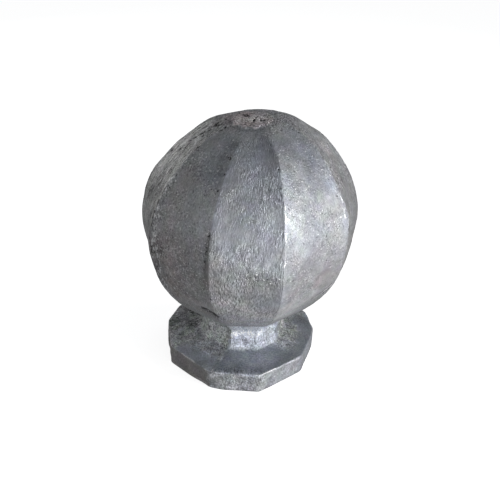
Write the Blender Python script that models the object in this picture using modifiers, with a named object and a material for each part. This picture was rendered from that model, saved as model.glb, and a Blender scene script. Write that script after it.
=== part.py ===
"""Fence finial: a faceted ball on a short neck and a hammered foot, one solid piece of iron.

The finial stands on its underside. +Z runs up its middle, the front faces -Y, and the origin is
the middle of the foot. A blank is turned first, as on a lathe. Its round sections are then forged
into the uneven eight-sided ball and the ten-cornered foot, and a flat cap is struck on the crown.
"""

from math import atan2, cos, exp, hypot, log, pi, radians, sin

import bmesh
import bpy
from mathutils import Vector

NAME = "finial"
MM = 0.001

# Foot, in millimetres: a flat disc with a rim, and a top that rises a little to the neck
FOOT_RADIUS = 30.0
RIM_HEIGHT = 7.7
ROOT_HEIGHT = 9.3
EDGE_CHAMFER = 0.6
UNDERSIDE_DRAFT = 0.1

# Neck, in millimetres
ROOT_RADIUS = 16.6
WAIST_RADIUS = 15.9
WAIST_HEIGHTS = (12.2, 15.0, 17.6)

# Ball, in millimetres and degrees; polar angles run from 0 at the crown to 180 below
BALL_RADIUS = 40.0
BALL_CENTRE_HEIGHT = 56.7
BALL_LOWEST_ANGLE = 153.0
BALL_ROW_ANGLE = 4.5
LEAN = radians(1.6)

# Where the turned ball is fuller or flatter: polar angle, spread of that angle, and height
SWELLS = ((12.0, 14.0, 1.0), (52.0, 22.0, -1.1), (110.0, 28.0, 0.9), (160.0, 15.0, 0.8))

# Ridges of the ball: azimuth from the front, swing of the azimuth by the underside, and how far
# the ridge stands out of the turned ball
RIDGES = (
    (-63.4, 5.5, -0.2),
    (-21.6, 5.7, 0.2),
    (18.5, 3.0, -0.2),
    (63.2, -4.2, -1.5),
    (105.0, 0.0, 2.0),
    (152.0, 0.0, 1.2),
    (204.0, 0.0, 1.0),
    (256.0, 0.0, 2.8),
)
SWING_ANGLES = (90.0, 145.0)

# Corners of the foot: azimuth from the front, and distance from the middle
FOOT_CORNERS = (
    (-64.3, 29.8),
    (-21.1, 31.1),
    (15.0, 31.0),
    (57.9, 28.6),
    (99.0, 29.6),
    (122.5, 32.0),
    (162.0, 30.4),
    (205.0, 30.4),
    (245.6, 30.9),
    (262.8, 30.4),
)

# Softness of the forged corners, as a share of the radius; the crown's ridges fade out
RIDGE_SOFTNESS = 0.008
CROWN_SOFTNESS = 0.05
CROWN_ANGLES = (14.0, 34.0)
FOOT_SOFTNESS = 0.010

# Struck cap on the crown: a plane that faces up, a little to the front and left
CAP_DISTANCE = 40.4
CAP_NORMAL = Vector((-0.052, -0.113, 0.992)).normalized()

# Columns of the mesh: shares of the way from each corner to the next, in both outlines
RIDGE_SHARES = (0.0, 0.1, 0.36, 0.64, 0.9)
FOOT_SHARES = (0.0, 0.12, 0.5, 0.88)
COLUMNS = len(RIDGES) * len(RIDGE_SHARES)

IRON_COLOUR = (0.33, 0.34, 0.36, 1.0)
IRON_ROUGHNESS = 0.55
IRON_METALLIC = 0.7
SHARP_ANGLE = radians(20.0)
AXIS_TOLERANCE = 0.01


def clear_scene():
    for item in list(bpy.data.objects):
        bpy.data.objects.remove(item, do_unlink=True)


def smooth_step(value, low, high):
    share = min(max((value - low) / (high - low), 0.0), 1.0)
    return share * share * (3.0 - 2.0 * share)


def ball_radius_at(polar):
    """Radius of the turned ball at a polar angle in degrees."""
    return BALL_RADIUS + sum(height * exp(-(((polar - middle) / spread) ** 2)) for middle, spread, height in SWELLS)


def ball_profile():
    """Points up the turned ball, from the neck to the crown, as radius and height."""
    rows = round(BALL_LOWEST_ANGLE / BALL_ROW_ANGLE)
    for row in range(rows + 1):
        polar = BALL_LOWEST_ANGLE * (1.0 - row / rows)
        radius = ball_radius_at(polar)
        yield radius * sin(radians(polar)), BALL_CENTRE_HEIGHT + radius * cos(radians(polar))


def profile():
    """The turned outline from the middle of the underside up to the crown."""
    points = [
        (0.0, 0.0),
        (FOOT_RADIUS - UNDERSIDE_DRAFT - EDGE_CHAMFER, 0.0),
        (FOOT_RADIUS - UNDERSIDE_DRAFT, EDGE_CHAMFER),
        (FOOT_RADIUS, RIM_HEIGHT - EDGE_CHAMFER),
        (FOOT_RADIUS - EDGE_CHAMFER, RIM_HEIGHT),
        (ROOT_RADIUS, ROOT_HEIGHT),
    ]
    points += [(WAIST_RADIUS, height) for height in WAIST_HEIGHTS]
    points += list(ball_profile())
    return points


def turned_blank():
    """A round, closed mesh: the profile turned once about the upright axis."""
    outline = [(radius * MM, 0.0, height * MM) for radius, height in reversed(profile())]
    mesh = bpy.data.meshes.new(NAME)
    mesh.from_pydata(outline, [(step, step + 1) for step in range(len(outline) - 1)], [])
    blank = bpy.data.objects.new(NAME, mesh)
    bpy.context.scene.collection.objects.link(blank)
    turn = blank.modifiers.new("Turn", "SCREW")
    turn.steps = turn.render_steps = COLUMNS
    turn.use_merge_vertices = True
    turn.merge_threshold = AXIS_TOLERANCE * MM
    turned = bpy.data.meshes.new_from_object(blank.evaluated_get(bpy.context.evaluated_depsgraph_get()))
    bpy.data.objects.remove(blank)
    return turned


def side_reach(azimuth, first, second):
    """Distance to the straight side between two corners, along a ray at this azimuth."""
    (start, near), (end, far) = first, second
    slant = near * sin(azimuth - start) + far * sin(end - azimuth)
    return near * far * sin(end - start) / slant if slant > 0.0 else None


def outline_reach(azimuth, corners, softness):
    """Distance to a polygon with softened corners, along a ray at this azimuth."""
    sides = [side_reach(azimuth, corners[number - 1], corners[number]) for number in range(len(corners))]
    return -softness * log(sum(exp(-side / softness) for side in sides if side is not None))


def column_azimuth(column, corners, shares):
    """Azimuth of a column, so that every corner of an outline has a column of its own."""
    number, place = divmod(column, len(shares))
    start = corners[number][0]
    end = corners[(number + 1) % len(corners)][0]
    return start + ((end - start) % (2.0 * pi)) * shares[place]


def foot_corners():
    return [(radians(azimuth), reach / FOOT_RADIUS) for azimuth, reach in FOOT_CORNERS]


def ridges_at(polar):
    """Azimuth and relative reach of the ball's ridges at a polar angle in degrees."""
    swung = smooth_step(polar, *SWING_ANGLES)
    return [
        (radians(azimuth + swing * swung), 1.0 + height / BALL_RADIUS)
        for azimuth, swing, height in RIDGES
    ]


def foot_section(column):
    corners = foot_corners()
    azimuth = column_azimuth(column, corners, FOOT_SHARES)
    return azimuth, outline_reach(azimuth, corners, FOOT_SOFTNESS)


def ball_section(column, polar):
    ridges = ridges_at(polar)
    fading = 1.0 - smooth_step(polar, *CROWN_ANGLES)
    azimuth = column_azimuth(column, ridges, RIDGE_SHARES)
    return azimuth, outline_reach(azimuth, ridges, RIDGE_SOFTNESS + CROWN_SOFTNESS * fading)


def forged(point):
    """Where a point of the turned blank, in millimetres, ends up in the forged finial."""
    radius, height = hypot(point.x, point.y), point.z
    lean = LEAN * max(height - RIM_HEIGHT, 0.0)
    if radius < AXIS_TOLERANCE:
        return Vector((lean, 0.0, height))
    column = round(atan2(point.x, -point.y) / (2.0 * pi / COLUMNS)) % COLUMNS
    polar = atan2(radius, height - BALL_CENTRE_HEIGHT) * 180.0 / pi
    foot_azimuth, foot_share = foot_section(column)
    ball_azimuth, ball_share = ball_section(column, polar)
    below = min(max((ROOT_HEIGHT - height) / (ROOT_HEIGHT - RIM_HEIGHT), 0.0), 1.0)
    turn = (foot_azimuth - ball_azimuth + pi) % (2.0 * pi) - pi
    azimuth = ball_azimuth + turn * below
    radius *= ball_share + (foot_share - ball_share) * below
    return Vector((radius * sin(azimuth) + lean, -radius * cos(azimuth), height))


def strike_cap(body):
    """Cut the crown off flat, and close the cut with one face."""
    centre = Vector((LEAN * (BALL_CENTRE_HEIGHT - RIM_HEIGHT), 0.0, BALL_CENTRE_HEIGHT))
    cut = bmesh.ops.bisect_plane(
        body,
        geom=body.verts[:] + body.edges[:] + body.faces[:],
        plane_co=(centre + CAP_NORMAL * CAP_DISTANCE) * MM,
        plane_no=CAP_NORMAL,
        clear_outer=True,
    )
    edges = [item for item in cut["geom_cut"] if isinstance(item, bmesh.types.BMEdge)]
    bmesh.ops.contextual_create(body, geom=edges)


def flatten_underside(body):
    """Make the underside one flat face."""
    underside = [face for face in body.faces if all(abs(vertex.co.z) < AXIS_TOLERANCE * MM for vertex in face.verts)]
    bmesh.ops.dissolve_faces(body, faces=underside, use_verts=True)


def iron():
    material = bpy.data.materials.new("iron")
    material.use_nodes = True
    shader = material.node_tree.nodes["Principled BSDF"]
    shader.inputs["Base Color"].default_value = IRON_COLOUR
    shader.inputs["Roughness"].default_value = IRON_ROUGHNESS
    shader.inputs["Metallic"].default_value = IRON_METALLIC
    return material


def finial(collection):
    mesh = turned_blank()
    body = bmesh.new()
    body.from_mesh(mesh)
    for vertex in body.verts:
        vertex.co = forged(vertex.co / MM) * MM
    strike_cap(body)
    flatten_underside(body)
    bmesh.ops.recalc_face_normals(body, faces=body.faces)
    body.to_mesh(mesh)
    body.free()
    mesh.name = NAME
    mesh.shade_smooth()
    mesh.set_sharp_from_angle(angle=SHARP_ANGLE)
    mesh.materials.append(iron())
    collection.objects.link(bpy.data.objects.new(NAME, mesh))


def main():
    clear_scene()
    collection = bpy.data.collections.new("fence_finial")
    bpy.context.scene.collection.children.link(collection)
    finial(collection)


main()
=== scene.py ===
"""Looks of the fence finial: its forged iron skin, a pale floor, soft studio light and the camera."""

from itertools import product
from math import cos, pi, radians, sin

import bpy
import numpy as np
from mathutils import Matrix, Vector


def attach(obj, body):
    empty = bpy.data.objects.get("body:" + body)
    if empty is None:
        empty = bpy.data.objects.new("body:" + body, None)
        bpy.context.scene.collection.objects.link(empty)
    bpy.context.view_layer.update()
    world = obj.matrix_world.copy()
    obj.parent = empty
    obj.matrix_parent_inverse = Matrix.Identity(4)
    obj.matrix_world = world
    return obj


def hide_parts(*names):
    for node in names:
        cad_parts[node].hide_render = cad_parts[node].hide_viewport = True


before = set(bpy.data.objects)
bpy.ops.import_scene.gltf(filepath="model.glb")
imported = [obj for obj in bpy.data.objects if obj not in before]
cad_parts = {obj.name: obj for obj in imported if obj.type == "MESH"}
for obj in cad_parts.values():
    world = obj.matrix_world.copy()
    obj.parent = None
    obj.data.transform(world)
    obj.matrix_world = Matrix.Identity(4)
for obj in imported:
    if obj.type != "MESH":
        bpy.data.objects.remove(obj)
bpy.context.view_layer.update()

MM = 0.001

# Foot, in millimetres, as the solid has it, with the roundings of its edges
FOOT_RADIUS = 30.0
RIM_HEIGHT = 7.7
ROOT_HEIGHT = 9.3
EDGE_ROUNDING = 0.7

# Neck, in millimetres
ROOT_RADIUS = 16.6
WAIST_RADIUS = 15.9
WAIST_HEIGHT = 15.0
FLARE_HEIGHT = 17.4
FLARE_POWER = 1.3
FILLET_RADIUS = 1.6

# Ball, in millimetres and degrees; polar angles run from 0 at the crown to 180 below
BALL_RADIUS = 40.0
BALL_CENTRE_HEIGHT = 56.7
BALL_LOWEST_ANGLE = 153.0
BALL_UNDERSIDE_HEIGHT = 22.6
LEAN = radians(1.6)
SWELLS = ((12.0, 14.0, 1.0), (52.0, 22.0, -1.1), (110.0, 28.0, 0.9), (160.0, 15.0, 0.8))

# Ridges of the ball: azimuth from the front at each of RIDGE_POLARS, height out of the turned
# ball, and softness as a share of the radius
RIDGE_POLARS = (20.0, 36.0, 55.0, 75.0, 92.0, 110.0, 145.0)
RIDGES = (
    ((-59.0, -58.4, -61.2, -61.2, -60.5, -58.8, -57.9), -0.2, 0.005),
    ((-21.5, -20.0, -20.4, -19.9, -18.8, -18.0, -14.5), 0.2, 0.003),
    ((15.0, 19.0, 18.2, 17.3, 17.9, 18.9, 22.0), -0.2, 0.003),
    ((66.0, 66.5, 65.0, 67.5, 63.0, 61.0, 59.0), -1.5, 0.006),
    ((105.0, 105.0, 105.0, 105.0, 105.0, 105.0, 105.0), 2.0, 0.010),
    ((152.0, 150.5, 151.5, 152.5, 152.0, 153.0, 154.0), 1.2, 0.009),
    ((204.0, 205.5, 204.5, 203.5, 204.0, 203.0, 202.0), 1.0, 0.008),
    ((256.0, 257.0, 256.0, 255.5, 256.0, 256.5, 257.0), 2.8, 0.011),
)
CROWN_SOFTNESS = 0.05
CROWN_ANGLES = (14.0, 34.0)

# Facets of the ball, from the one right of the first ridge: how far the middle stands out in
# millimetres, then shares of upright strokes, grit, flaking scale, blue and bright specks
FACETS = (
    (0.10, 0.35, 0.65, 0.0, 0.50, 0.75),
    (0.15, 1.00, 0.56, 0.0, 0.95, 0.20),
    (0.15, 0.25, 0.44, 0.0, 0.85, 0.60),
    (0.10, 0.80, 1.10, 0.5, 0.30, 0.60),
    (0.20, 0.50, 0.60, 0.1, 0.50, 0.40),
    (0.10, 0.90, 0.80, 0.3, 0.40, 0.30),
    (0.25, 0.30, 0.55, 0.0, 0.60, 0.40),
    (0.05, 0.30, 1.05, 1.0, 0.00, 0.70),
)

# Wear of each ridge, bright where it is rubbed and dark where it is chipped
RIDGE_WEAR = (0.15, 0.0, 0.0, 0.0, 0.4, 0.3, 0.5, 0.3)
RIDGE_CHIPS = (0.1, 0.0, 0.0, 0.1, 0.2, 0.3, 0.2, 0.2)

# Sharp steps of painted shade and painted light at a ridge, sharpening the change of brightness
# between its facets: its number, polar angle and half height, and change of the tone on its left
# and on its right
RIDGE_STEPS = ((1, 116.0, 16.0, -0.18, 0.08), (2, 110.0, 18.0, -0.16, 0.24), (2, 32.0, 9.0, -0.10, 0.06))

# Corners of the foot: azimuth from the front, and distance from the middle
FOOT_CORNERS = (
    (-64.3, 29.8),
    (-21.1, 31.1),
    (15.0, 31.0),
    (57.9, 28.1),
    (99.0, 29.5),
    (126.0, 32.35),
    (162.0, 30.4),
    (205.0, 30.4),
    (234.0, 32.5),
    (258.5, 30.5),
)
FOOT_SOFTNESS = 0.014

# Worn corners of the foot's lower edge: azimuth from -64 to 296, spread in degrees, and shift in
# millimetres
LOWER_EDGE_SHIFTS = ((286.0, 8.0, -0.8), (-25.0, 9.0, -0.8), (-10.0, 8.0, 0.35))
LOWER_EDGE_HEIGHT = 4.5

# Struck cap on the crown, and the polar angles between which its marks end
CAP_DISTANCE = 40.4
CAP_NORMAL = np.array((-0.052, -0.113, 0.992))
CAP_SOFTNESS = 0.12
CAP_BORDER = (22.0, 26.0)

# Mesh density: columns round the piece, rows up each stretch of the profile, and how many
# triangles are kept where the skin is plain
COLUMNS = 640
CROWDING = 0.4
UNDERSIDE_ROWS = 5
EDGE_ROWS = 4
RIM_ROWS = 15
TOP_ROWS = 28
FILLET_ROWS = 5
NECK_ROWS = 26
BALL_ROWS = 250
KEPT_TRIANGLES = 194000
NOISE_CELLS = 64

# In millimetres: a distance past every mark, and the height up to which the relief sets in, so that
# the underside stays flat
PAST_ALL = 99.0
RELIEF_START = 0.8

# What the material reads at every point of the skin, and its highest value
# Besides the iron's own look these carry painted light: its lightness holds painted light and shade, its
# bright marks painted highlights, and its dark marks painted shade
ATTRIBUTES = ("tone", "rust", "soot_and_shade", "worn_and_highlit", "stroke", "grit", "flaky", "cool", "specks", "green")
HIGHEST_VALUE = 2.4

# Hammering all over the skin: size of its bumps, and height, in millimetres
HAMMERING = ((12.0, 0.20), (5.5, 0.08), (2.4, 0.05), (1.2, 0.03))

# Broad dents and swells of the ball: azimuth, polar angle, spread in degrees, and height
DENTS = (
    (100, 32, 20, 0.9),
    (105, 28, 6, -0.5),
    (97, 75, 9, -0.3),
    (79, 112, 15, 0.6),
    (40, 128, 14, -0.4),
    (-62, 109, 6, -0.4),
    (-83, 105, 12, -1.2),
    (-107, 56, 8, -0.6),
    (-105, 40, 6, -0.45),
    (113, 17, 6, 0.4),
    (-105, 23, 6, 0.7),
    (-147, 17, 6, -0.4),
    (160, 60, 14, -0.4),
    (-165, 100, 16, 0.4),
)

# Marks on the ball, each a line of places: azimuth from the front, and polar angle. The cracks of
# the scale have their width in millimetres first.
SCALE_CRACKS = (
    (0.50, ((-80, 25.8), (-71.5, 23.4), (-69, 21.2), (-66, 19.5))),
    (0.50, ((-83, 22.4), (-79, 21.1), (-81, 19.8))),
    (0.30, ((-54.6, 23.2), (-51.5, 22.3), (-53, 21.2), (-56, 20.4))),
    (0.36, ((-72.4, 29.2), (-74, 27.6), (-71, 25.7))),
    (0.36, ((-79.5, 32.8), (-76.6, 29.2))),
    (0.28, ((-82, 36.3), (-78.6, 32.8))),
    (0.26, ((-72.5, 32), (-69.7, 29.5))),
    (0.20, ((-84.2, 39.5), (-82, 37.6))),
    (0.28, ((-85.2, 46.3), (-84.4, 44.5))),
    (0.36, ((-97.3, 51.9), (-96.5, 50.3))),
    (0.24, ((-78, 17.9), (-67, 16))),
    (0.20, ((-92, 30), (-95, 34), (-95, 38))),
)
BURR = (
    *((-60.2, 58.5), (-59.8, 64.6), (-59.6, 67), (-59, 70.5)),
    *((-59.4, 74), (-58.8, 79), (-58, 83), (-57, 88)),
)
BURR_GROOVE = (
    *((-61.8, 61), (-61.5, 68), (-61.6, 75), (-61.4, 80.4)),
    *((-62, 87), (-60.9, 92), (-58.4, 98)),
)
PITTED_EDGE = (
    *((-59.5, 55), (-59, 64), (-58.8, 72), (-57.8, 80)),
    *((-56.8, 88), (-56, 98), (-55, 108), (-55, 118)),
)
NOTCHES = ((-20.4, 76), (-20.6, 80), (-21.2, 86), (-21.3, 92), (-20.6, 98))
UNDERCUTS = (
    ((-27, 125.2), (-23.5, 124.8), (-20.5, 125.8)),
    ((-22.5, 127), (-20, 127), (-18, 127.8)),
)
LAPS = (
    ((48, 121), (51.5, 118.8), (54.5, 116.3), (58.5, 112)),
    ((56.5, 118.5), (59, 115.5), (60.5, 112.5)),
)

# Edges with painted highlights along them, partly rubbed bright: how strongly, and the line
BRIGHT_EDGES = (
    (0.72, ((-58.6, 37), (-60, 46), (-61.2, 59))),
    (1.0, ((18.5, 60), (18.2, 66), (18.1, 72), (17.9, 80), (17.9, 90))),
    (0.85, ((64.6, 60), (65.6, 68), (64.6, 76), (61, 86))),
)
SCRATCHES = (
    ((35.4, 39.4), (37.3, 41.2)),
    ((57.8, 44.8), (60.4, 47.5)),
    ((19.4, 53), (21, 55.2), (23.5, 54.4)),
)

# Small pits, and bright scars that are partly painted glints, of the ball: azimuth, polar angle,
# radius in millimetres; and how many more pits are strewn over it
PITS = (
    (39.7, 19.7, 0.5),
    (37, 41, 0.4),
    (58.4, 45, 0.4),
    (-20.8, 28.6, 0.3),
    (-21.8, 36.2, 0.5),
    (-23.9, 36.6, 0.4),
    (-21.4, 45.4, 0.45),
    (-27.5, 46.3, 0.3),
    (-22.2, 54.3, 0.5),
    (-23, 56.2, 0.35),
    (-28.2, 59, 0.35),
    (-21.6, 66, 0.25),
    (-29, 58.3, 0.35),
    (-57.4, 50.3, 0.35),
    (-31.5, 80.3, 0.3),
    (-1.5, 70.3, 0.35),
    (1.8, 72.7, 0.3),
    (-2, 94.6, 0.45),
    (1, 96.2, 0.5),
    (4, 96, 0.5),
    (7.2, 95, 0.45),
    (10.2, 92.6, 0.4),
)
SCARS_AND_GLINTS = (
    (57, 43.5, 0.4),
    (56, 76, 0.4),
    (57.6, 80.5, 0.45),
    (54.4, 84.6, 0.4),
    (57.7, 89.7, 0.45),
    (59.4, 86.5, 0.4),
    (61.5, 75, 0.4),
    (27.6, 55.4, 0.35),
    (20.4, 67.5, 0.4),
    (21.7, 73.6, 0.35),
    (41, 17.5, 0.4),
)
STRAY_PITS = 90

# Struck cap, in millimetres from the middle of the crown, to the right and to the back: its
# raised lip, the folds in it and its own middle
CAP_LIP = ((-5.2, -1.9), (-3.8, -4.7), (-1.3, -6.4), (1.1, -6.4), (3.5, -4.9), (5.4, -3.6), (7, -0.7))
CAP_FOLDS = (
    ((-2.2, 3.8), (-0.8, 2.8), (0.5, 1.7)),
    ((1, -1.9), (1.6, -0.4), (2.3, 1.4)),
    ((5.2, 4.4), (6.8, 4)),
    ((3.9, -1), (5.2, -1.6)),
)
CAP_MIDDLE = (1.2, 0.5)

# Creases in the foot's top, in millimetres to the right and to the back
FOOT_CREASES = (
    ((-9.9, -28.5), (-7.9, -23.9), (-6, -18.1), (-4.6, -15.8)),
    ((-24.6, -13.8), (-21.8, -11.4), (-18.9, -9.3), (-16.3, -7.8)),
)

# Soft patches of the ball: what changes, azimuth, polar angle, half width and half height in
# degrees, and by how much
PATCHES = (
    ("rust", -46, 98, 12, 22, 0.9),
    ("rust", 23, 85, 5, 3, 0.3),
    ("rust", 50, 106, 10, 9, 0.6),
    ("rust", 76, 50, 10, 12, 0.4),
    ("rust", -20, 101, 3, 4, 0.8),
    ("rust", -95, 15, 40, 5, 0.9),
    ("rust", -40, 118, 14, 8, 0.5),
    ("rust", -4, 119, 16, 12, 0.35),
    ("rust", 26, 107, 6, 10, 0.4),
    ("green", -22, 101, 3, 4, 0.7),
    ("green", 26, 72, 8, 9, 0.6),
    ("green", 6, 98, 12, 6, 0.9),
    ("green", -2, 66, 10, 10, 0.5),
    ("green", 44, 63, 9, 9, 0.6),
    ("green", -32, 60, 7, 12, 0.5),
    ("cool", -30, 42, 12, 14, 0.5),
    ("cool", -50, 62, 8, 30, -0.4),
    ("cool", -12, 62, 8, 12, -0.5),
    ("cool", -16, 85, 6, 8, -0.5),
    ("cool", 16, 108, 10, 8, 0.5),
    ("cool", 54, 72, 8, 14, -0.5),
    ("cool", -10, 72, 8, 8, 0.5),
    ("cool", 60, 44, 12, 10, 0.6),
    ("grit", -42, 104, 16, 22, 0.6),
    ("grit", 0, 124, 22, 16, 0.45),
    ("grit", -42, 50, 16, 20, 0.4),
    ("specks", -46, 100, 14, 24, 0.6),
    ("specks", 57, 82, 5, 10, 1.2),
    ("specks", 25, 58, 8, 6, 0.6),
    ("specks", 7, 98, 11, 4, 1.8),
    ("tone", 7, 98, 11, 4, -0.16),
    ("tone", -38, 44, 18, 16, -0.06),
    ("tone", -26, 42, 5, 14, -0.20),
    ("tone", -2, 72, 20, 20, 0.32),
    ("tone", -6, 91, 14, 7, -0.10),
    ("tone", 47, 96, 8, 10, -0.10),
    # Painted shade along the ball's left outline
    ("tone", -84, 73, 9, 12, -0.35),
    ("tone", -14, 60, 7, 18, 0.15),
    ("tone", -76, 66, 12, 16, -0.25),
    ("tone", -88, 27, 20, 10, 0.50),
    ("tone", -150, 12, 60, 8, 0.20),
    ("tone", 80, 60, 5, 9, -0.25),
    ("tone", 38, 72, 12, 14, -0.21),
    ("tone", 76, 80, 4, 9, 0.20),
    ("tone", 14, 113, 5, 20, -0.15),
    # Painted light: the ball's lower front, lightened where light from below would fall and where the
    # underside stands in shade
    ("tone", 2, 126, 22, 16, 0.70),
    ("tone", 34, 119, 14, 13, 0.85),
    ("tone", 55, 104, 14, 12, 0.35),
    ("tone", 24, 72, 5, 12, 0.15),
    ("tone", 54, 54, 12, 9, -0.28),
    ("tone", 12, 27, 6, 7, -0.20),
    ("tone", 0, 20, 26, 7, -0.05),
    ("tone", 2, 62, 11, 11, 0.10),
    ("tone", 12, 60, 4, 11, 0.10),
    ("tone", -16, 85, 4, 8, -0.18),
    ("tone", -9, 43, 7, 9, 0.14),
    ("tone", 7, 48, 6, 10, 0.10),
    ("tone", -82, 54, 5, 12, -0.14),
    # Painted shade along the ball's left outline
    ("tone", -103, 68, 4, 26, -0.45),
    ("tone", -65, 74, 5, 14, -0.20),
    ("tone", -52, 101, 6, 10, -0.20),
    ("tone", -64, 102, 8, 10, -0.10),
    ("tone", -76, 45, 7, 8, -0.12),
    ("tone", -72, 88, 9, 12, -0.14),
    ("tone", 29, 101, 8, 5, 0.12),
    ("tone", 6, 105, 10, 4, 0.14),
    ("tone", 57, 74, 7, 16, -0.10),
    ("tone", 19, 92, 4, 5, -0.10),
)

# Mottled patches of the ball: azimuth, polar angle, half width and half height in degrees, size of
# the mottles in millimetres, and strength
MOTTLES = (
    (-44, 104, 15, 22, 1.7, 0.18),
    (-70, 95, 12, 20, 1.7, 0.14),
    (38, 60, 16, 30, 2.4, 0.05),
    (0, 84, 18, 30, 2, 0.09),
    (-40, 44, 16, 20, 2.6, 0.08),
)

# Colours of the iron: its two greys, the tints of its patches, and its bright and dark marks, the
# bright ones both bare metal and painted highlights, the dark ones both black scale and painted shade
WARM_GREY = (0.48, 0.475, 0.47, 1.0)
BLUE_GREY = (0.43, 0.455, 0.515, 1.0)
RUSTY_GREY = (0.46, 0.415, 0.42, 1.0)
GREEN_GREY = (0.44, 0.475, 0.445, 1.0)
BARE_METAL_AND_HIGHLIGHT = (0.85, 0.85, 0.86, 1.0)
BLACK_SCALE_AND_SHADE = (0.045, 0.045, 0.048, 1.0)
BUMP_DEPTH = 0.32

# Camera of the photo: distance from its target and lens in millimetres, and angles in degrees
CAMERA_TARGET = Vector((1.8, 0.0, 44.0))
CAMERA_DISTANCE = 320.0
CAMERA_ELEVATION = 26.1
CAMERA_ROLL = 2.96
CAMERA_LENS = 60.7
CAMERA_SENSOR = 36.0
NEAREST_IN_VIEW = 10.0

# Soft lights: name, azimuth from the front in degrees, distance and height of the middle in metres,
# width and height of the box, and watts
SOFTBOXES = (
    ("key", 69.0, 0.55, 0.18, (0.18, 0.26), 1.90),
    ("low_front", 30.0, 0.17, 0.012, (0.10, 0.02), 0.10),
    ("left_front", -30.0, 0.60, 0.15, (0.30, 0.25), 0.13),
    ("left", -75.0, 0.60, 0.15, (0.30, 0.25), 0.12),
    ("left_back", -137.0, 0.60, 0.15, (0.30, 0.25), 0.32),
    ("right_back", 140.0, 0.60, 0.25, (0.30, 0.25), 0.18),
)
ROOM_COLOUR = (0.96, 0.98, 1.0, 1.0)
ROOM_LIGHT = 0.21

# Floor, in metres, and how much it glows
FLOOR_HALF = 3.0
FLOOR_COLOUR = (0.8, 0.8, 0.8, 1.0)
FLOOR_ROUGHNESS = 0.9
FLOOR_GLOW = 0.8


def smooth_step(value, low, high):
    share = np.clip((value - low) / (high - low), 0.0, 1.0)
    return share * share * (3.0 - 2.0 * share)


def bell(value, middle, spread):
    return np.exp(-(((value - middle) / spread) ** 2))


def noise(points, size, seed):
    """Smooth noise from -1 to 1, with bumps of about this size in millimetres."""
    table = np.random.default_rng(seed).uniform(-1.0, 1.0, (NOISE_CELLS,) * 3)
    cell = np.floor(points / size).astype(int)
    share = points / size - cell
    share = share * share * (3.0 - 2.0 * share)
    total = np.zeros(points.shape[:-1])
    for corner in product((0, 1), repeat=3):
        x, y, z = np.moveaxis((cell + corner) % NOISE_CELLS, -1, 0)
        total += table[x, y, z] * np.prod(np.where(corner, share, 1.0 - share), axis=-1)
    return total


def nearness(distance, width):
    """One at a mark, and evenly down to nought three widths away; the material cuts it sharply."""
    return np.clip(1.0 - np.abs(distance) / (3.0 * width), 0.0, 1.0)


def line_distance(points, line):
    """Distance from every point to a line through a few places."""
    nearest = np.full(points.shape[:-1], np.inf)
    for start, end in zip(line, line[1:]):
        step = end - start
        share = np.clip((points - start) @ step / (step @ step), 0.0, 1.0)
        nearest = np.minimum(nearest, np.linalg.norm(points - start - share[..., None] * step, axis=-1))
    return nearest


def arc(middle, radius, start, end, steps):
    """Points on an arc of the profile, angles in degrees from the outward direction."""
    angles = np.radians(np.linspace(start, end, steps + 1))
    return [(middle[0] + radius * cos(angle), middle[1] + radius * sin(angle)) for angle in angles]


def straight(start, end, steps):
    """Points on a straight stretch of the profile, without its ends."""
    run, rise = end[0] - start[0], end[1] - start[1]
    shares = np.linspace(0.0, 1.0, steps + 1)[1:-1]
    return [(start[0] + run * share, start[1] + rise * share) for share in shares]


def ball_profile():
    polar = np.linspace(BALL_LOWEST_ANGLE, 0.0, BALL_ROWS + 1)
    radius = BALL_RADIUS + sum(height * bell(polar, middle, spread) for middle, spread, height in SWELLS)
    polar = np.radians(polar)
    return list(zip(radius * np.sin(polar), BALL_CENTRE_HEIGHT + radius * np.cos(polar)))


def neck_profile(ball_start):
    """The neck's hollow curve from its root up to the ball's underside."""
    heights = np.linspace(ROOT_HEIGHT + FILLET_RADIUS, ball_start[1], NECK_ROWS + 1)[1:-1]
    ends = (ROOT_RADIUS - WAIST_RADIUS, ball_start[0] - WAIST_RADIUS)
    below = ((WAIST_HEIGHT - heights) / (WAIST_HEIGHT - ROOT_HEIGHT)).clip(0.0) ** 2
    above = ((heights - FLARE_HEIGHT) / (ball_start[1] - FLARE_HEIGHT)).clip(0.0) ** FLARE_POWER
    return list(zip(WAIST_RADIUS + ends[0] * below + ends[1] * above, heights))


def profile():
    """Radius and height of every row, from the middle of the underside up to the crown."""
    inset = FOOT_RADIUS - EDGE_ROUNDING
    lower = arc((inset, EDGE_ROUNDING), EDGE_ROUNDING, -90.0, 0.0, EDGE_ROWS)
    upper = arc((inset, RIM_HEIGHT - EDGE_ROUNDING), EDGE_ROUNDING, 0.0, 90.0, EDGE_ROWS)
    hollow = (ROOT_RADIUS + FILLET_RADIUS, ROOT_HEIGHT + FILLET_RADIUS)
    fillet = arc(hollow, FILLET_RADIUS, -90.0, -180.0, FILLET_ROWS)
    ball = ball_profile()
    points = [(0.0, 0.0)] + straight((0.0, 0.0), lower[0], UNDERSIDE_ROWS) + lower
    points += straight(lower[-1], upper[0], RIM_ROWS) + upper
    points += straight(upper[-1], fillet[0], TOP_ROWS) + fillet
    points += neck_profile(ball[0]) + ball
    return np.array(points)


def column_shares(corner_count):
    """Share of the way from one corner to the next for the columns between them."""
    shares = np.arange(COLUMNS // corner_count) / (COLUMNS // corner_count)
    return shares - CROWDING * np.sin(2.0 * pi * shares) / (2.0 * pi)


def column_azimuth(corners):
    """Azimuth of every column: each corner of an outline has its own, and more lie close to it."""
    steps = (np.roll(corners, -1, axis=1) - corners) % (2.0 * pi)
    azimuth = corners[:, :, None] + steps[:, :, None] * column_shares(corners.shape[1])
    return azimuth.reshape(len(corners), COLUMNS)


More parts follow.
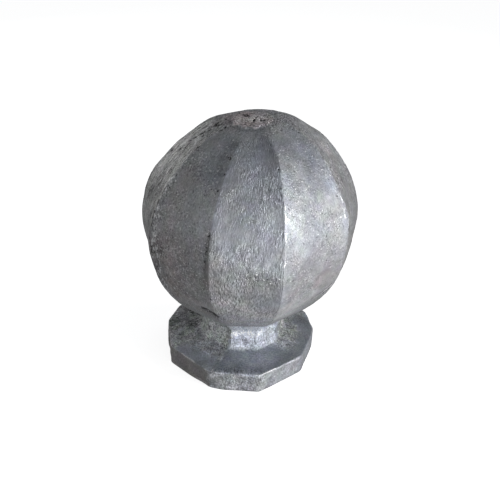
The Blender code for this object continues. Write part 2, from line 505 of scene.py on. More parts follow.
def outline_reach(azimuth, corners, reaches, softness):
    """Distance from the middle to a polygon with softened corners, for every column."""
    total = np.zeros_like(azimuth)
    for number, near in enumerate(reaches):
        follower = (number + 1) % len(reaches)
        far = reaches[follower]
        start, end = corners[:, number, None], corners[:, follower, None]
        slant = near * np.sin(azimuth - start) + far * np.sin(end - azimuth)
        side = near * far * np.sin(end - start) / np.maximum(slant, 1e-6)
        total += np.where(slant > 0.0, np.exp(-side / softness), 0.0)
    return -softness * np.log(total)


def ridge_softness(polar):
    """Softness of the nearest ridge for every column, greater towards the crown."""
    own = np.array([soft for _, _, soft in RIDGES])
    nearest = np.round(np.arange(COLUMNS) / (COLUMNS // len(RIDGES))).astype(int) % len(RIDGES)
    fading = CROWN_SOFTNESS * (1.0 - smooth_step(polar, *CROWN_ANGLES))
    return own[nearest][None, :] + fading[:, None]


def ball_outline(polar):
    """Azimuth and relative reach of the ball's section at every row."""
    ridges = np.radians([np.interp(polar, RIDGE_POLARS, azimuths) for azimuths, _, _ in RIDGES]).T
    azimuth = column_azimuth(ridges)
    reaches = [1.0 + out / BALL_RADIUS for _, out, _ in RIDGES]
    return azimuth, outline_reach(azimuth, ridges, reaches, ridge_softness(polar))


def foot_outline():
    """Azimuth and relative reach of the foot's section."""
    corners = np.radians([[azimuth for azimuth, _ in FOOT_CORNERS]])
    azimuth = column_azimuth(corners)
    reaches = [reach / FOOT_RADIUS for _, reach in FOOT_CORNERS]
    return azimuth, outline_reach(azimuth, corners, reaches, FOOT_SOFTNESS)


def forged_form():
    """Rows by columns of points in millimetres, with the azimuth and polar angle of each."""
    rows = profile()
    radius, height = rows[:, :1], rows[:, 1:]
    polar = np.degrees(np.arctan2(radius, height - BALL_CENTRE_HEIGHT))[:, 0]
    ball_azimuth, ball_reach = ball_outline(polar)
    foot_azimuth, foot_reach = foot_outline()
    below = ((ROOT_HEIGHT - height) / (ROOT_HEIGHT - RIM_HEIGHT)).clip(0.0, 1.0)
    turn = (foot_azimuth - ball_azimuth + pi) % (2.0 * pi) - pi
    azimuth = ball_azimuth + turn * below
    reach = radius * (ball_reach + (foot_reach - ball_reach) * below)
    low = (1.0 - smooth_step(height, 0.0, LOWER_EDGE_HEIGHT)) * (radius / FOOT_RADIUS) ** 4
    for middle, spread, shift in LOWER_EDGE_SHIFTS:
        reach = reach + low * shift * bell(np.degrees(foot_azimuth), middle, spread)
    lean = LEAN * (height - RIM_HEIGHT).clip(0.0)
    upright = np.broadcast_to(height, reach.shape)
    points = np.stack([reach * np.sin(azimuth) + lean, -reach * np.cos(azimuth), upright], axis=-1)
    azimuth = (np.degrees(azimuth) + 180.0) % 360.0 - 180.0
    return points, azimuth, np.broadcast_to(polar[:, None], reach.shape)


def outward(points):
    """Unit normals of a grid of points whose columns run round and whose rows run up."""
    round_step = np.roll(points, -1, axis=1) - np.roll(points, 1, axis=1)
    up_step = np.gradient(points, axis=0)
    normals = np.cross(round_step, up_step)
    length = np.linalg.norm(normals, axis=-1, keepdims=True)
    normals = normals / np.maximum(length, 1e-9)
    normals[0], normals[-1] = (0.0, 0.0, -1.0), CAP_NORMAL / np.linalg.norm(CAP_NORMAL)
    return normals


class Skin:
    """The surface: its points, where each lies, and how it is tinted, rubbed and grained there, with the
    light and shade painted on it.
    """

    def __init__(self):
        self.points, self.azimuth, self.polar = forged_form()
        self.strike_cap()
        height = self.points[..., 2]
        self.ball = smooth_step(height, BALL_UNDERSIDE_HEIGHT - 0.5, BALL_UNDERSIDE_HEIGHT + 1.5)
        self.foot = 1.0 - smooth_step(height, ROOT_HEIGHT, ROOT_HEIGHT + FILLET_RADIUS)
        self.neck = 1.0 - self.ball - self.foot
        self.rim = 1.0 - smooth_step(height, RIM_HEIGHT - EDGE_ROUNDING, RIM_HEIGHT)
        self.top = self.foot * (1.0 - self.rim)
        self.reach = np.hypot(self.points[..., 0], self.points[..., 1])
        self.places = self.on_sphere(self.azimuth, self.polar)
        self.ragged = noise(self.points, 1.1, 30)
        self.foot_ragged = noise(self.points, 1.0, 34)
        self.foot_side = self.azimuth + 2.0 * self.foot_ragged
        for name in ("relief",) + ATTRIBUTES:
            setattr(self, name, np.zeros(height.shape))
        self.tone += 1.0

    # Dark marks: black scale and painted shade
    def darken(self, nearness_of_mark):
        self.soot_and_shade = np.maximum(self.soot_and_shade, nearness_of_mark)

    # Bright marks: bare worn metal and painted highlights
    def brighten(self, nearness_of_mark):
        self.worn_and_highlit = np.maximum(self.worn_and_highlit, nearness_of_mark)

    def strike_cap(self):
        """Press what stands over the cap's plane down to it."""
        normal = CAP_NORMAL / np.linalg.norm(CAP_NORMAL)
        centre = np.array((LEAN * (BALL_CENTRE_HEIGHT - RIM_HEIGHT), 0.0, BALL_CENTRE_HEIGHT))
        over = (self.points - centre) @ normal - CAP_DISTANCE
        pressed = -CAP_SOFTNESS * np.logaddexp(0.0, -over / CAP_SOFTNESS)
        self.points = self.points + normal * (pressed - over)[..., None]
        self.cap_place = self.points[..., :2] - (centre + normal * CAP_DISTANCE)[:2]

    @staticmethod
    def on_sphere(azimuth, polar):
        """Places on a plain sphere of the ball's radius, to measure distances between marks."""
        turn, drop = np.radians(azimuth), np.radians(polar)
        return BALL_RADIUS * np.stack(
            [np.sin(turn) * np.sin(drop), -np.cos(turn) * np.sin(drop), np.cos(drop)], axis=-1
        )

    def from_line(self, line):
        """Distance from a line of places on the ball."""
        azimuth, polar = np.array(line, dtype=float).T
        return line_distance(self.places, self.on_sphere(azimuth, polar)) + PAST_ALL * (1.0 - self.ball)

    def from_spot(self, azimuth, polar):
        """Distance from one place on the ball."""
        spot = self.on_sphere(np.array(azimuth), np.array(polar))
        return np.linalg.norm(self.places - spot, axis=-1) + PAST_ALL * (1.0 - self.ball)

    def from_cap_line(self, line):
        """Distance from a line of places on the struck cap."""
        below = PAST_ALL * smooth_step(self.polar, *CAP_BORDER)
        return line_distance(self.cap_place, np.array(line, dtype=float)) + below

    def from_ridge(self, number):
        """Distance from one ridge along the ball's round, greater than nought on its right."""
        turn = self.azimuth - np.interp(self.polar, RIDGE_POLARS, RIDGES[number][0])
        turn = np.radians((turn + 180.0) % 360.0 - 180.0)
        lost = 1.0 - self.ball * smooth_step(self.polar, 12.0, 22.0)
        return turn * BALL_RADIUS * np.sin(np.radians(self.polar)) + PAST_ALL * lost

    def patch(self, azimuth, polar, half_width, half_height):
        """A soft patch of the ball with an uneven edge."""
        turn = (self.azimuth - azimuth + 180.0) % 360.0 - 180.0
        turn = turn + 0.5 * half_width * noise(self.points, 5.0, 41)
        drop = self.polar - polar + 0.5 * half_height * noise(self.points, 6.0, 42)
        return self.ball * np.exp(-((turn / half_width) ** 2) - (drop / half_height) ** 2)


def dress_facets(skin):
    """Bulge of each facet, and the grain and tint that go with it."""
    shares = np.tile(column_shares(len(RIDGES)), len(RIDGES))
    rows = np.repeat(np.array(FACETS), COLUMNS // len(RIDGES), axis=0)
    bulge, stroke, grit, flaky, cool, specks = rows.T[:, None, :] * skin.ball
    skin.relief += bulge * 4.0 * shares * (1.0 - shares) * np.sin(np.radians(skin.polar))
    apart = smooth_step(skin.polar, 12.0, 30.0)
    uneven = 1.0 + 0.7 * noise(skin.points, 6.0, 32) + 0.4 * noise(skin.points, 2.5, 33)
    skin.stroke = stroke * apart
    skin.grit = (grit * apart + 1.4 * skin.ball * (1.0 - apart)) * uneven
    skin.flaky = flaky * smooth_step(skin.polar, 13.0, 17.0)
    skin.cool = cool * apart + 0.4 * skin.ball * (1.0 - apart)
    skin.cool *= 1.0 - 0.55 * smooth_step(skin.polar, 75.0, 105.0)
    skin.specks = (specks * apart + 0.3 * skin.ball * (1.0 - apart)) * uneven
    skin.tone += 0.20 * skin.flaky * noise(flow(skin) / (1.0, 1.0, 1.6), 2.0, 58)


def dent_ball(skin):
    for azimuth, polar, spread, height in DENTS:
        skin.relief += height * bell(skin.from_spot(azimuth, polar), 0.0, spread * BALL_RADIUS * pi / 180.0)


def hammer(skin):
    share = 0.35 + 0.65 * skin.ball
    for number, (size, height) in enumerate(HAMMERING):
        skin.relief += share * height * noise(skin.points, size, number)


def stroke_facets(skin):
    """Fine upright strokes and grit, as deep as the mesh can hold."""
    skin.relief += 0.05 * skin.stroke * noise(flow(skin) / (0.8, 0.8, 2.2), 1.0, 11)
    skin.relief += 0.04 * skin.grit * noise(skin.points, 0.9, 31)


def flow(skin):
    """Coordinates that run round and down the ball, for grain that follows its facets."""
    turn = np.radians(skin.azimuth)
    down = np.radians(skin.polar) * BALL_RADIUS
    return np.stack([BALL_RADIUS * np.sin(turn), -BALL_RADIUS * np.cos(turn), down], axis=-1)


def groove(skin, distance, depth, width, lip=0.0, darkness=1.0):
    """A sharp furrow, dark inside, with an optional lip along it."""
    skin.relief += lip * bell(distance, 2.2 * width, width) - depth * bell(distance, 0.0, width)
    skin.darken(darkness * nearness(distance, width))


def crack_scale(skin):
    """Flaking scale, with long cracks on the facet at the left."""
    flakes = noise(flow(skin) / (1.0, 1.0, 2.6), 1.2, 12)
    skin.relief += 0.05 * skin.flaky * smooth_step(flakes, 0.0, 0.15)
    patchy = smooth_step(noise(skin.points, 3.0, 47), 0.0, 0.3)
    skin.darken(skin.flaky * nearness(flakes + 0.25, 0.06) * patchy)
    crown = skin.flaky * bell(skin.polar, 24.0, 9.0)
    lumps = noise(flow(skin) / (1.0, 1.0, 1.8), 2.0, 46)
    gaps = noise(flow(skin) / (1.0, 1.0, 3.0), 1.2, 45) - 0.15
    skin.relief += crown * (0.25 * lumps - 0.35 * bell(gaps, 0.0, 0.12))
    broken = smooth_step(noise(skin.points, 2.0, 64), -0.3, 0.1)
    skin.darken(0.95 * crown * nearness(gaps, 0.09) * broken)
    ragged = 0.5 * noise(skin.points, 1.0, 13)
    for width, line in SCALE_CRACKS:
        groove(skin, skin.from_line(line) + ragged, 1.1 * width, width, 0.5 * width)


def raise_burr(skin):
    """The ragged burr along the ridge at the left: a painted highlight on its crest, painted shadow in the
    groove beside it, and painted shade and highlights on the lumps of its pitted edge.
    """
    patchy = smooth_step(noise(skin.points, 1.0, 14), -0.3, 0.2)
    wavy = 0.9 * noise(skin.points, 1.5, 16)
    crest = skin.from_line(BURR) + wavy
    skin.relief += 0.45 * bell(crest, 0.0, 0.6) * patchy
    # Painted highlight on the burr's crest
    skin.brighten(0.95 * nearness(crest, 0.35) * patchy)
    beside = skin.from_line(BURR_GROOVE) + 0.6 * wavy
    skin.relief -= 0.25 * bell(beside, 0.0, 0.4) * (1.0 - 0.7 * patchy)
    # Painted shadow in the groove beside the burr
    skin.darken(nearness(beside, 0.45) * (1.0 - 0.6 * patchy))
    zone = 1.0 - smooth_step(skin.from_line(PITTED_EDGE) + 1.2 * noise(skin.points, 2.5, 61), 1.2, 2.4)
    lumps = noise(skin.points, 0.8, 62)
    skin.relief += 0.25 * zone * lumps
    # Painted shade on the low side of the lumps and painted highlights on their tops
    skin.darken(0.74 * zone * smooth_step(-lumps, 0.35, 0.6))
    skin.brighten(0.90 * zone * smooth_step(lumps, 0.12, 0.4))
    skin.specks += 1.0 * zone
    skin.grit += 0.6 * zone


def fold_underside(skin):
    """Folds under the ball at its left, with painted shadow in and round them, and laps at its right."""
    ragged = 0.5 * noise(skin.points, 1.5, 15)
    for line in UNDERCUTS:
        fold = skin.from_line(line) + 0.9 * ragged
        # Painted shadow under the ball, round the folds and, darkest, in them
        skin.tone -= 0.22 * bell(fold, 0.0, 2.0)
        groove(skin, fold, 0.9, 1.8, darkness=0.88)
    for line in LAPS:
        groove(skin, skin.from_line(line) + 0.4 * ragged, 0.2, 0.3, 0.1)


def wear_ridges(skin):
    """Ridges rubbed bright in places and chipped dark in others, with painted highlights along some and
    painted shade and light beside others.
    """
    for number, (wear, chips) in enumerate(zip(RIDGE_WEAR, RIDGE_CHIPS)):
        away = skin.from_ridge(number)
        rubbed = smooth_step(noise(skin.points, 2.2, 50 + number), 0.6 - wear, 0.9 - wear)
        skin.brighten(0.9 * nearness(away, 0.25) * rubbed)
        chipped = smooth_step(noise(skin.points, 1.1, 60 + number), 0.6 - chips, 0.8 - chips)
        skin.relief -= 0.25 * bell(away, -0.4, 0.45) * chipped
        skin.darken(nearness(away + 0.45, 0.38) * chipped)
    broken = smooth_step(noise(skin.points, 1.3, 59), -0.3, 0.0)
    # Painted highlights along the ridges, partly rubbed wear
    for strength, line in BRIGHT_EDGES:
        skin.brighten(strength * nearness(skin.from_line(line) + 0.5 * skin.ragged, 0.33) * broken)
    for line in SCRATCHES:
        skin.brighten(0.8 * nearness(skin.from_line(line) + 0.4 * skin.ragged, 0.3))
    notches = skin.from_line(NOTCHES)
    gaps = smooth_step(noise(skin.points, 0.9, 48), -0.5, 0.3)
    skin.relief -= 0.35 * bell(notches, 0.0, 0.5) * gaps
    skin.tone -= 0.30 * bell(notches, 0.0, 1.2)
    skin.darken(0.77 * nearness(notches + 0.6 * noise(skin.points, 0.9, 63), 0.5) * gaps)
    # Painted shade on one side of these ridges and painted light on the other
    for number, polar, half_height, left, right in RIDGE_STEPS:
        away = skin.from_ridge(number)
        change = left + (right - left) * smooth_step(away, -0.15, 0.15)
        skin.tone += change * bell(away, 0.0, 4.5) * bell(skin.polar, polar, half_height)


def pit(skin, azimuth, polar, radius, depth):
    """A round hollow with a low raised border, dark inside."""
    distance = skin.from_spot(azimuth, polar) + 0.5 * radius * skin.ragged
    border = bell(distance, 1.5 * radius, 0.5 * radius)
    skin.relief += 0.3 * depth * border - depth * bell(distance, 0.0, radius)
    skin.darken(0.86 * nearness(distance, 0.75 * radius))


def pit_skin(skin):
    for azimuth, polar, radius in PITS:
        pit(skin, azimuth, polar, radius, 0.45 * radius)
    # Bright scars, partly painted glints
    for azimuth, polar, radius in SCARS_AND_GLINTS:
        skin.brighten(nearness(skin.from_spot(azimuth, polar) + 0.4 * skin.ragged, radius))
    draws = np.random.default_rng(17)
    for _ in range(STRAY_PITS):
        azimuth = draws.uniform(-180.0, 180.0)
        polar = np.degrees(np.arccos(draws.uniform(-0.7, 0.95)))
        pit(skin, azimuth, polar, draws.uniform(0.2, 0.5), draws.uniform(0.05, 0.2))


def wrinkle_cap(skin):
    """The struck cap: crumpled, with a raised lip round its front and folds in it, a painted highlight along
    the lip and painted shadow just outside it.
    """
    ragged = noise(skin.points, 1.1, 20)
    from_middle = np.linalg.norm(skin.cap_place - CAP_MIDDLE, axis=-1)
    from_middle = from_middle + PAST_ALL * smooth_step(skin.polar, *CAP_BORDER)
    inside = 1.0 - smooth_step(from_middle + 0.9 * ragged, 6.5, 7.6)
    lip = skin.from_cap_line(CAP_LIP)
    skin.relief += 0.28 * bell(lip + 0.3 * ragged, 0.0, 0.6)
    # Painted highlight along the raised lip
    skin.brighten(0.64 * nearness(lip + 0.5 * ragged, 0.35))

    crumples = noise(skin.points * (1.0, 1.3, 1.0), 2.6, 18)
    creases = nearness(crumples - 0.05, 0.05) * smooth_step(noise(skin.points, 2.0, 40), 0.0, 0.2)
    folds = np.min([skin.from_cap_line(line) for line in CAP_FOLDS], axis=0) + 0.8 * ragged
    skin.relief += inside * (0.40 * np.abs(crumples) + 0.12 * noise(skin.points, 0.9, 19) - 0.2 * creases)
    skin.relief -= 0.35 * inside * bell(folds, 0.0, 0.5)
    skin.darken(inside * np.maximum(0.9 * creases, nearness(folds, 0.45)))
    # The last term is painted shadow in a ring just outside the cap's lip
    skin.tone += inside * (0.40 + 0.5 * crumples) - 0.2 * bell(from_middle + 0.6 * ragged, 8.1, 0.6)
    skin.rust = np.maximum(skin.rust, inside * (1.0 - 0.08 * skin.cap_place[..., 0]))
    skin.cool *= 1.0 - 0.7 * inside
    skin.grit += 0.3 * inside


def mottle_foot(skin):
    """The foot's top, planed smooth in front and mottled elsewhere, with painted shade at its left towards
    the back.
    """
    side, top = skin.foot_side, skin.top
    left = 1.0 - smooth_step(side, -64.0, -58.0)
    behind = smooth_step(side, 110.0, 130.0)
    by_neck = 1.0 - smooth_step(side, -22.0, -16.0) * (1.0 - smooth_step(side, 45.0, 60.0))
    by_neck = by_neck * (1.0 - smooth_step(skin.reach + 3.0 * skin.foot_ragged, 20.0, 24.0))
    mottled = top * np.maximum(np.maximum(left, behind), by_neck)
    skin.relief += mottled * (0.15 * noise(skin.points, 3.0, 21) + 0.18 * noise(skin.points, 1.4, 22))
    skin.tone += mottled * (0.07 + 0.32 * noise(skin.points, 2.6, 35) + 0.38 * noise(skin.points, 0.9, 36))
    hues = noise(skin.points, 4.0, 49)
    skin.green += 1.1 * mottled * smooth_step(hues, -0.3, 0.3)
    skin.rust += 0.3 * mottled * left * smooth_step(-hues, 0.0, 0.5)

    planed = top - mottled
    front = smooth_step(side, -22.0, -17.0) * (1.0 - 0.5 * smooth_step(side, 40.0, 60.0))
    skin.tone += planed * (0.14 * noise(skin.points, 4.0, 43) - 0.06 - 0.18 * front)
    skin.tone -= 0.14 * top * front * smooth_step(skin.reach, 21.0, 27.0)
    # Painted shade on the foot's top at its left, towards the back
    skin.tone -= 0.48 * top * smooth_step(-side, 78.0, 92.0)
    skin.green += 0.35 * planed * front
    skin.cool += 1.3 * top - 0.7 * mottled
    skin.grit += 0.6 * skin.foot + 0.9 * mottled
    skin.specks += mottled


def crease_foot(skin):
    """Thin raised creases across the foot's top, with a painted highlight along them."""
    broken = smooth_step(noise(skin.points, 2.0, 55), -0.2, 0.2)
    for line in FOOT_CREASES:
        crease = line_distance(skin.points[..., :2], np.array(line)) + 0.6 * skin.foot_ragged
        skin.relief += 0.10 * skin.top * bell(crease, 0.0, 0.4)
        # Painted highlight along each crease
        skin.brighten(0.75 * skin.top * nearness(crease, 0.3) * broken)


def wear_rim(skin):
    """The foot's rim: uneven, rough in front, with painted shade and some rust at its left, painted light on
    its front and right, and a painted highlight along its upper edge.
    """
    side, height = skin.foot_side, skin.points[..., 2]
    skin.relief += skin.rim * (0.20 * noise(skin.points, 3.4, 23) + 0.12 * noise(skin.points, 1.7, 24))
    low = 1.0 - smooth_step(height, 0.4, 4.0)
    chipped = 1.0 * bell(skin.azimuth, -27.0, 11.0) - 0.4 * bell(skin.azimuth, -8.0, 8.0)
    skin.relief -= skin.rim * low * chipped

    # Painted highlight along the rim's upper edge, left out at its shaded left
    edge = nearness(height - RIM_HEIGHT + 0.25, 0.25) * smooth_step(skin.reach, 26.0, 28.5)
    edge = edge * (1.0 - 0.6 * bell(skin.azimuth, -3.0, 14.0)) * (1.0 - 0.8 * smooth_step(-side, 62.0, 74.0))
    skin.brighten(0.85 * edge * smooth_step(noise(skin.points, 2.0, 25), -0.7, 0.0))

    darker = 1.0 - smooth_step(side, -23.5, -20.5)
    over_edge = skin.reach + 0.9 * noise(skin.points * (1.0, 1.0, 0.4), 0.9, 37)
    over_edge = skin.foot * smooth_step(over_edge, 28.6, 29.4)
    rough = np.maximum(skin.rim, over_edge) * (1.0 - darker)
    plain = smooth_step(side, 14.0, 22.0)
    # Painted light on the rim's front and right, as light from the front and below would fall, with grain in
    # it
    skin.tone += rough * (0.20 + 0.45 * (1.0 - 0.5 * plain) * noise(skin.points, 1.5, 44))
    # Painted shade on the rim's left side, which faces away from the key lamp
    skin.tone -= skin.rim * (0.16 * darker + 0.28 * smooth_step(-side, 64.0, 74.0))
    skin.rust += 0.4 * skin.rim * darker
    skin.cool += 0.6 * rough
    skin.grit += (0.6 - 0.5 * plain) * rough
    skin.specks += (0.5 - 0.3 * plain) * rough

    fringe = skin.top * bell(skin.reach, 28.8, 1.8) * bell(skin.azimuth, -2.0, 16.0)
    skin.stroke += fringe
    skin.grit += 1.6 * fringe
    skin.tone -= 0.12 * fringe


def roughen_neck(skin):
    """The neck: bright in front as bare metal and, towards the ball, as painted light where the ball's
    shadow falls; painted fill light lifts its shaded left.
    """
    ragged = noise(skin.points, 1.1, 38)
    lumps = 0.18 * noise(skin.points, 2.4, 26) + 0.10 * noise(skin.points, 1.1, 27)
    skin.relief += skin.neck * lumps
    side = skin.azimuth + 6.0 * ragged + 8.0 * noise(skin.points, 2.4, 65)
    front = smooth_step(side, -19.0, -15.0) * (1.0 - smooth_step(side, 70.0, 90.0))
    lit = front * (1.0 - 0.45 * smooth_step(side, 18.0, 30.0))
    z = skin.points[..., 2]
    fuzzy = smooth_step(z + 1.0 * ragged, ROOT_HEIGHT + 0.1, ROOT_HEIGHT + 0.6)
    # Painted fill light on the neck's left, which the lamps leave in shade
    painted_fill_on_left = bell(side, -45.0, 30.0)
    # Painted light on the neck's front, strongest just under the ball, where the ball's shadow falls
    painted_light_under_ball = 0.13 + 0.90 * smooth_step(z, 12.5, 16.5)
    blotches = 0.35 * noise(skin.points, 1.0, 39) + 0.25 * noise(skin.points, 2.2, 57)
    skin.tone += skin.neck * (painted_light_under_ball * lit * fuzzy + 0.5 * painted_fill_on_left + (1.8 - 0.8 * front) * blotches)
    skin.green += 1.1 * skin.neck * (1.0 - front)
    skin.grit += (2.3 - 0.8 * front) * skin.neck
    skin.stroke += 0.3 * skin.neck
    skin.cool += (0.3 + 0.9 * front) * skin.neck
    skin.specks += skin.neck * (1.3 - 1.0 * front)


def tint(skin):
    """Soft and mottled patches of the ball, a few of them painted light and shade, and the limits of what
    the material reads.
    """
    for name, azimuth, polar, half_width, half_height, strength in PATCHES:
        values = getattr(skin, name)
        values += strength * skin.patch(azimuth, polar, half_width, half_height)
    for number, (azimuth, polar, half_width, half_height, size, strength) in enumerate(MOTTLES):
        mottles = noise(skin.points, size, 70 + number)
        skin.tone += 2.0 * strength * mottles * skin.patch(azimuth, polar, half_width, half_height)
    for name in ATTRIBUTES:
        np.clip(getattr(skin, name), 0.0, HIGHEST_VALUE, out=getattr(skin, name))


def grid_mesh(name, points):
    """A closed mesh from rows by columns of points, whose first and last rows meet in one point."""
    rows, columns = points.shape[:2]
    ring = np.arange(columns)
    after = np.roll(ring, -1)
    lower = np.arange(rows - 3)[:, None] * columns
    upper = lower + columns
    quads = np.stack([lower + ring, lower + after, upper + after, upper + ring], axis=-1)
    bottom = (rows - 2) * columns
    last = (rows - 3) * columns
    under = np.stack([np.full(columns, bottom), after, ring], axis=-1)
    crown = np.stack([np.full(columns, bottom + 1), last + ring, last + after], axis=-1)
    faces = quads.reshape(-1, 4).tolist() + under.tolist() + crown.tolist()
    mesh = bpy.data.meshes.new(name)
    mesh.from_pydata((grid_values(points) * MM).tolist(), [], faces)
    return mesh


def grid_values(values):
    """One value for each vertex of the grid's mesh."""
    inner = values[1:-1].reshape((-1,) + values.shape[2:])
    return np.concatenate([inner, values[:1, 0], values[-1:, 0]])


def add_attributes(mesh, skin):
    for name in ATTRIBUTES:
        values = grid_values(getattr(skin, name)).astype(np.float32)
        mesh.attributes.new(name, "FLOAT", "POINT").data.foreach_set("value", values)
    values = grid_values(flow(skin)).astype(np.float32)
    mesh.attributes.new("flow", "FLOAT_VECTOR", "POINT").data.foreach_set("vector", values.ravel())


def thin_out(piece, kept):
    """Leave about this many triangles, most of them where the skin is uneven."""
    faces = sum(len(polygon.vertices) - 2 for polygon in piece.data.polygons)
    thinning = piece.modifiers.new("Thinning", "DECIMATE")
    thinning.ratio = kept / faces
    graph = bpy.context.evaluated_depsgraph_get()
    thinned = bpy.data.meshes.new_from_object(piece.evaluated_get(graph))
    piece.modifiers.clear()
    piece.data = thinned


def finial_skin():
    skin = Skin()
    for work in (
        dress_facets,
        dent_ball,
        hammer,
        stroke_facets,
        crack_scale,
        raise_burr,
        fold_underside,
        wear_ridges,
        pit_skin,
        wrinkle_cap,
        mottle_foot,
        crease_foot,
        wear_rim,
        roughen_neck,
        tint,
    ):
        work(skin)
    standing = smooth_step(skin.points[..., 2], 0.0, RELIEF_START)
    points = skin.points + outward(skin.points) * (skin.relief * standing)[..., None]
    mesh = grid_mesh("finial_skin", points)
    add_attributes(mesh, skin)
    piece = bpy.data.objects.new("finial_skin", mesh)
    bpy.context.scene.collection.objects.link(piece)
    thin_out(piece, KEPT_TRIANGLES)
    piece.data.shade_smooth()
    return piece


class Shading:
    """Short ways to make and join the nodes of one material."""

    def __init__(self, name):
        self.material = bpy.data.materials.new(name)
        self.material.use_nodes = True
        self.tree = self.material.node_tree
        self.shader = self.tree.nodes["Principled BSDF"]
        self.place = self.node("TexCoord").outputs["Object"]

    def node(self, kind, sockets=None, **settings):
        made = self.tree.nodes.new("ShaderNode" + kind)
        for name, value in settings.items():
            setattr(made, name, value)
        for name, value in (sockets or {}).items():
            self.feed(made.inputs[name], value)
        return made

    def feed(self, socket, value):
        if isinstance(value, bpy.types.NodeSocket):
            self.tree.links.new(value, socket)
        else:
            socket.default_value = value

    def mask(self, name):
        return self.node("Attribute", attribute_name=name).outputs["Fac"]

    def math(self, operation, first, second):
        return self.node("Math", {0: first, 1: second}, operation=operation).outputs[0]

    def grain(self, size, detail=2.0, roughness=0.5, coordinates=None):
        """Noise from 0 to 1 with grains of this size in millimetres."""
        sockets = {
            "Vector": coordinates or self.place,
            "Scale": 1.0 / (size * MM),
            "Detail": detail,
            "Roughness": roughness,
        }
        return self.node("TexNoise", sockets).outputs["Fac"]

    def spread(self, value, low, high, to_low=0.0, to_high=1.0):
        """Stretch the values from low to high, and clamp them."""
        sockets = {"Value": value, "From Min": low, "From Max": high, "To Min": to_low, "To Max": to_high}
        return self.node("MapRange", sockets).outputs["Result"]

    def mix(self, share, first, second):
        """Mix of two colours."""
        return self.node("Mix", {0: share, 6: first, 7: second}, data_type="RGBA").outputs[2]

    def times(self, colour, factor):
        return self.node("VectorMath", {0: colour, 1: factor}, operation="MULTIPLY").outputs[0]


def grain_along(look):
    """Coordinates that follow the facets down the ball, a little crooked."""
    along = look.node("Attribute", attribute_name="flow").outputs["Vector"]
    wander = look.node("TexNoise", {"Vector": look.place, "Scale": 1.0 / (3.0 * MM)}).outputs["Color"]
    return look.node("VectorMath", {0: along, 1: wander}, operation="ADD").outputs[0]


def iron_grain(look, masks, along):
    """The fine grain, drawn out into strokes where the skin has them."""
    strokes = look.grain(0.46, 2.0, 0.55, look.times(along, (MM, MM, 0.34 * MM)))
    fine = look.grain(0.6, 3.0, 0.6)
    return look.node("Mix", {0: masks["stroke"], 2: fine, 3: strokes}, data_type="FLOAT").outputs[0]


def iron_marks(look, masks, along):
    """How bright, how dark and how dotted the skin's marks are."""
    jitter = look.math("MULTIPLY", look.math("SUBTRACT", look.grain(0.45, 2.0, 0.65), 0.5), 0.6)
    soot_and_shade = look.spread(look.math("ADD", masks["soot_and_shade"], jitter), 0.60, 0.74)
    worn_and_highlit = look.spread(look.math("SUBTRACT", masks["worn_and_highlit"], jitter), 0.55, 0.80)
    dashes = look.grain(0.7, 2.0, 0.6, look.times(along, (MM, MM, 0.2 * MM)))
    dark_dashes = look.math("MULTIPLY", look.spread(dashes, 0.57, 0.62), masks["flaky"])
    light_dashes = look.math("MULTIPLY", look.spread(dashes, 0.43, 0.38), masks["flaky"])
    dots = look.grain(0.75, 1.5, 0.55)
    light_dots = look.math("MULTIPLY", look.spread(dots, 0.63, 0.70), masks["specks"])
    dark_dots = look.math("MULTIPLY", look.spread(dots, 0.37, 0.30), masks["specks"])
    light = look.math("MAXIMUM", light_dots, look.math("MULTIPLY", light_dashes, 0.5))
    bright = look.math("MAXIMUM", look.math("MULTIPLY", worn_and_highlit, 0.9), light)
    dark = look.math("MAXIMUM", dark_dashes, look.math("MULTIPLY", dark_dots, 0.7))
    dark = look.math("MAXIMUM", look.math("MULTIPLY", dark, 0.8), soot_and_shade)
    return bright, dark, light_dots


def iron_hue(look, masks):
    """Grey that is bluish, rusty or greenish in patches."""
    blue_patches = look.spread(look.grain(9.0, 2.0, 0.5), 0.4, 0.6, 0.6, 1.0)
    hue = look.mix(look.math("MULTIPLY", masks["cool"], blue_patches), WARM_GREY, BLUE_GREY)
    rust_patches = look.spread(look.grain(2.5, 3.0, 0.6), 0.3, 0.6, 0.5, 1.0)
    hue = look.mix(look.math("MULTIPLY", masks["rust"], rust_patches), hue, RUSTY_GREY)
    green_patches = look.spread(look.grain(3.0, 3.0, 0.6), 0.4, 0.6)
    hue = look.mix(look.math("MULTIPLY", masks["green"], green_patches), hue, GREEN_GREY)
    sockets = {"Vector": look.place, "Scale": 1.0 / (4.5 * MM), "Detail": 3.0}
    shifts = look.node("TexNoise", sockets).outputs["Color"]
    sockets = {0: shifts, 1: (0.16,) * 3, 2: (0.92,) * 3}
    return look.times(hue, look.node("VectorMath", sockets, operation="MULTIPLY_ADD").outputs[0])


def iron_shade(look, masks, grain):
    """How light the grey is, from its grain, soft blotches and the tone attribute, which also holds painted
    light and shade.
    """
    strength = look.math("MULTIPLY", masks["grit"], 2.5)
    contrast = look.math("MULTIPLY", look.math("SUBTRACT", grain, 0.5), strength)
    blotches = look.spread(look.grain(6.0, 4.0, 0.6), 0.35, 0.65, 0.88, 1.12)
    shade = look.math("MULTIPLY", look.math("ADD", contrast, 1.0), blotches)
    return look.math("MULTIPLY", shade, masks["tone"])


def iron_bumps(look, masks, grain, bright, dark):
    """Normals of the grain and of the bright and dark marks."""
    depth = look.math("ADD", look.math("MULTIPLY", masks["grit"], 0.8), 0.2)
    height = look.math("ADD", look.math("MULTIPLY", grain, depth), look.math("MULTIPLY", bright, 0.2))
    height = look.math("SUBTRACT", height, look.math("MULTIPLY", dark, 0.3))
    bumps = look.node("Bump", {"Height": height, "Strength": 1.0, "Distance": BUMP_DEPTH * MM})
    return bumps.outputs["Normal"]


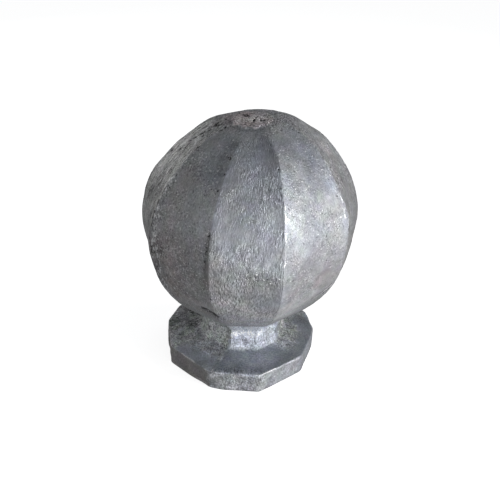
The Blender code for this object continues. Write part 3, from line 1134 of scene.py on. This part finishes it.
def iron():
    """Raw forged iron: grainy grey, rusty in places, black in cracks and in painted shade, bright with wear
    and painted highlights.
    """
    look = Shading("iron")
    masks = {name: look.mask(name) for name in ATTRIBUTES}
    along = grain_along(look)
    grain = iron_grain(look, masks, along)
    bright, dark, light_dots = iron_marks(look, masks, along)
    colour = look.times(iron_hue(look, masks), iron_shade(look, masks, grain))
    colour = look.mix(bright, colour, BARE_METAL_AND_HIGHLIGHT)
    colour = look.mix(look.math("MULTIPLY", dark, 0.85), colour, BLACK_SCALE_AND_SHADE)
    rough = look.spread(look.grain(1.6, 3.0, 0.6), 0.3, 0.7, 0.48, 0.64)
    rough = look.math("SUBTRACT", rough, look.math("MULTIPLY", bright, 0.2))
    metal = look.math("SUBTRACT", 0.92, look.math("MULTIPLY", light_dots, 0.5))
    look.feed(look.shader.inputs["Base Color"], colour)
    look.feed(look.shader.inputs["Roughness"], rough)
    look.feed(look.shader.inputs["Metallic"], metal)
    look.feed(look.shader.inputs["Normal"], iron_bumps(look, masks, grain, bright, dark))
    return look.material


def direction(azimuth, elevation):
    """Unit vector from the object towards an azimuth from the front and an elevation, in degrees."""
    turn, rise = radians(azimuth), radians(elevation)
    return Vector((sin(turn) * cos(rise), -cos(turn) * cos(rise), sin(rise)))


def softbox(name, azimuth, distance, height, size, power):
    """A soft light on a stand, turned towards the finial."""
    data = bpy.data.lights.new(name, "AREA")
    data.shape = "RECTANGLE"
    data.size, data.size_y = size
    data.energy = power
    light = bpy.data.objects.new(name, data)
    light.location = direction(azimuth, 0.0) * distance + Vector((0.0, 0.0, height))
    towards = light.location - CAMERA_TARGET * MM
    light.rotation_euler = towards.to_track_quat("Z", "Y").to_euler()
    light.visible_camera = False
    bpy.context.scene.collection.objects.link(light)


def studio():
    for name, azimuth, distance, height, size, power in SOFTBOXES:
        softbox(name, azimuth, distance, height, size, power)
    world = bpy.data.worlds.new("studio")
    world.use_nodes = True
    background = world.node_tree.nodes["Background"]
    background.inputs["Color"].default_value = ROOM_COLOUR
    background.inputs["Strength"].default_value = ROOM_LIGHT
    bpy.context.scene.world = world


def floor():
    """A pale floor that glows a little, and doesn't show in the iron."""
    mesh = bpy.data.meshes.new("floor")
    corners = [(x * FLOOR_HALF, y * FLOOR_HALF, 0.0) for x, y in ((-1, -1), (1, -1), (1, 1), (-1, 1))]
    mesh.from_pydata(corners, [], [(0, 1, 2, 3)])
    ground = bpy.data.objects.new("floor", mesh)
    look = Shading("floor")
    look.shader.inputs["Base Color"].default_value = FLOOR_COLOUR
    look.shader.inputs["Roughness"].default_value = FLOOR_ROUGHNESS
    look.shader.inputs["Emission Color"].default_value = (1.0, 1.0, 1.0, 1.0)
    look.shader.inputs["Emission Strength"].default_value = FLOOR_GLOW
    mesh.materials.append(look.material)
    bpy.context.scene.collection.objects.link(ground)
    ground.visible_glossy = False
    ground.visible_diffuse = False


def camera():
    data = bpy.data.cameras.new("camera")
    data.sensor_width = CAMERA_SENSOR
    data.lens = CAMERA_LENS
    data.clip_start = NEAREST_IN_VIEW * MM
    backward = direction(0.0, CAMERA_ELEVATION)
    sideways = Vector((1.0, 0.0, 0.0))
    axes = Matrix((sideways, backward.cross(sideways), backward)).transposed().to_4x4()
    view = bpy.data.objects.new("camera", data)
    place = Matrix.Translation((CAMERA_TARGET + backward * CAMERA_DISTANCE) * MM)
    view.matrix_world = place @ axes @ Matrix.Rotation(radians(CAMERA_ROLL), 4, "Z")
    bpy.context.scene.collection.objects.link(view)
    bpy.context.scene.camera = view


def main():
    camera()
    studio()
    floor()
    bpy.context.scene.view_settings.view_transform = "Standard"
    skin = finial_skin()
    skin.data.materials.append(iron())
    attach(skin, "root")
    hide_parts("finial")


main()
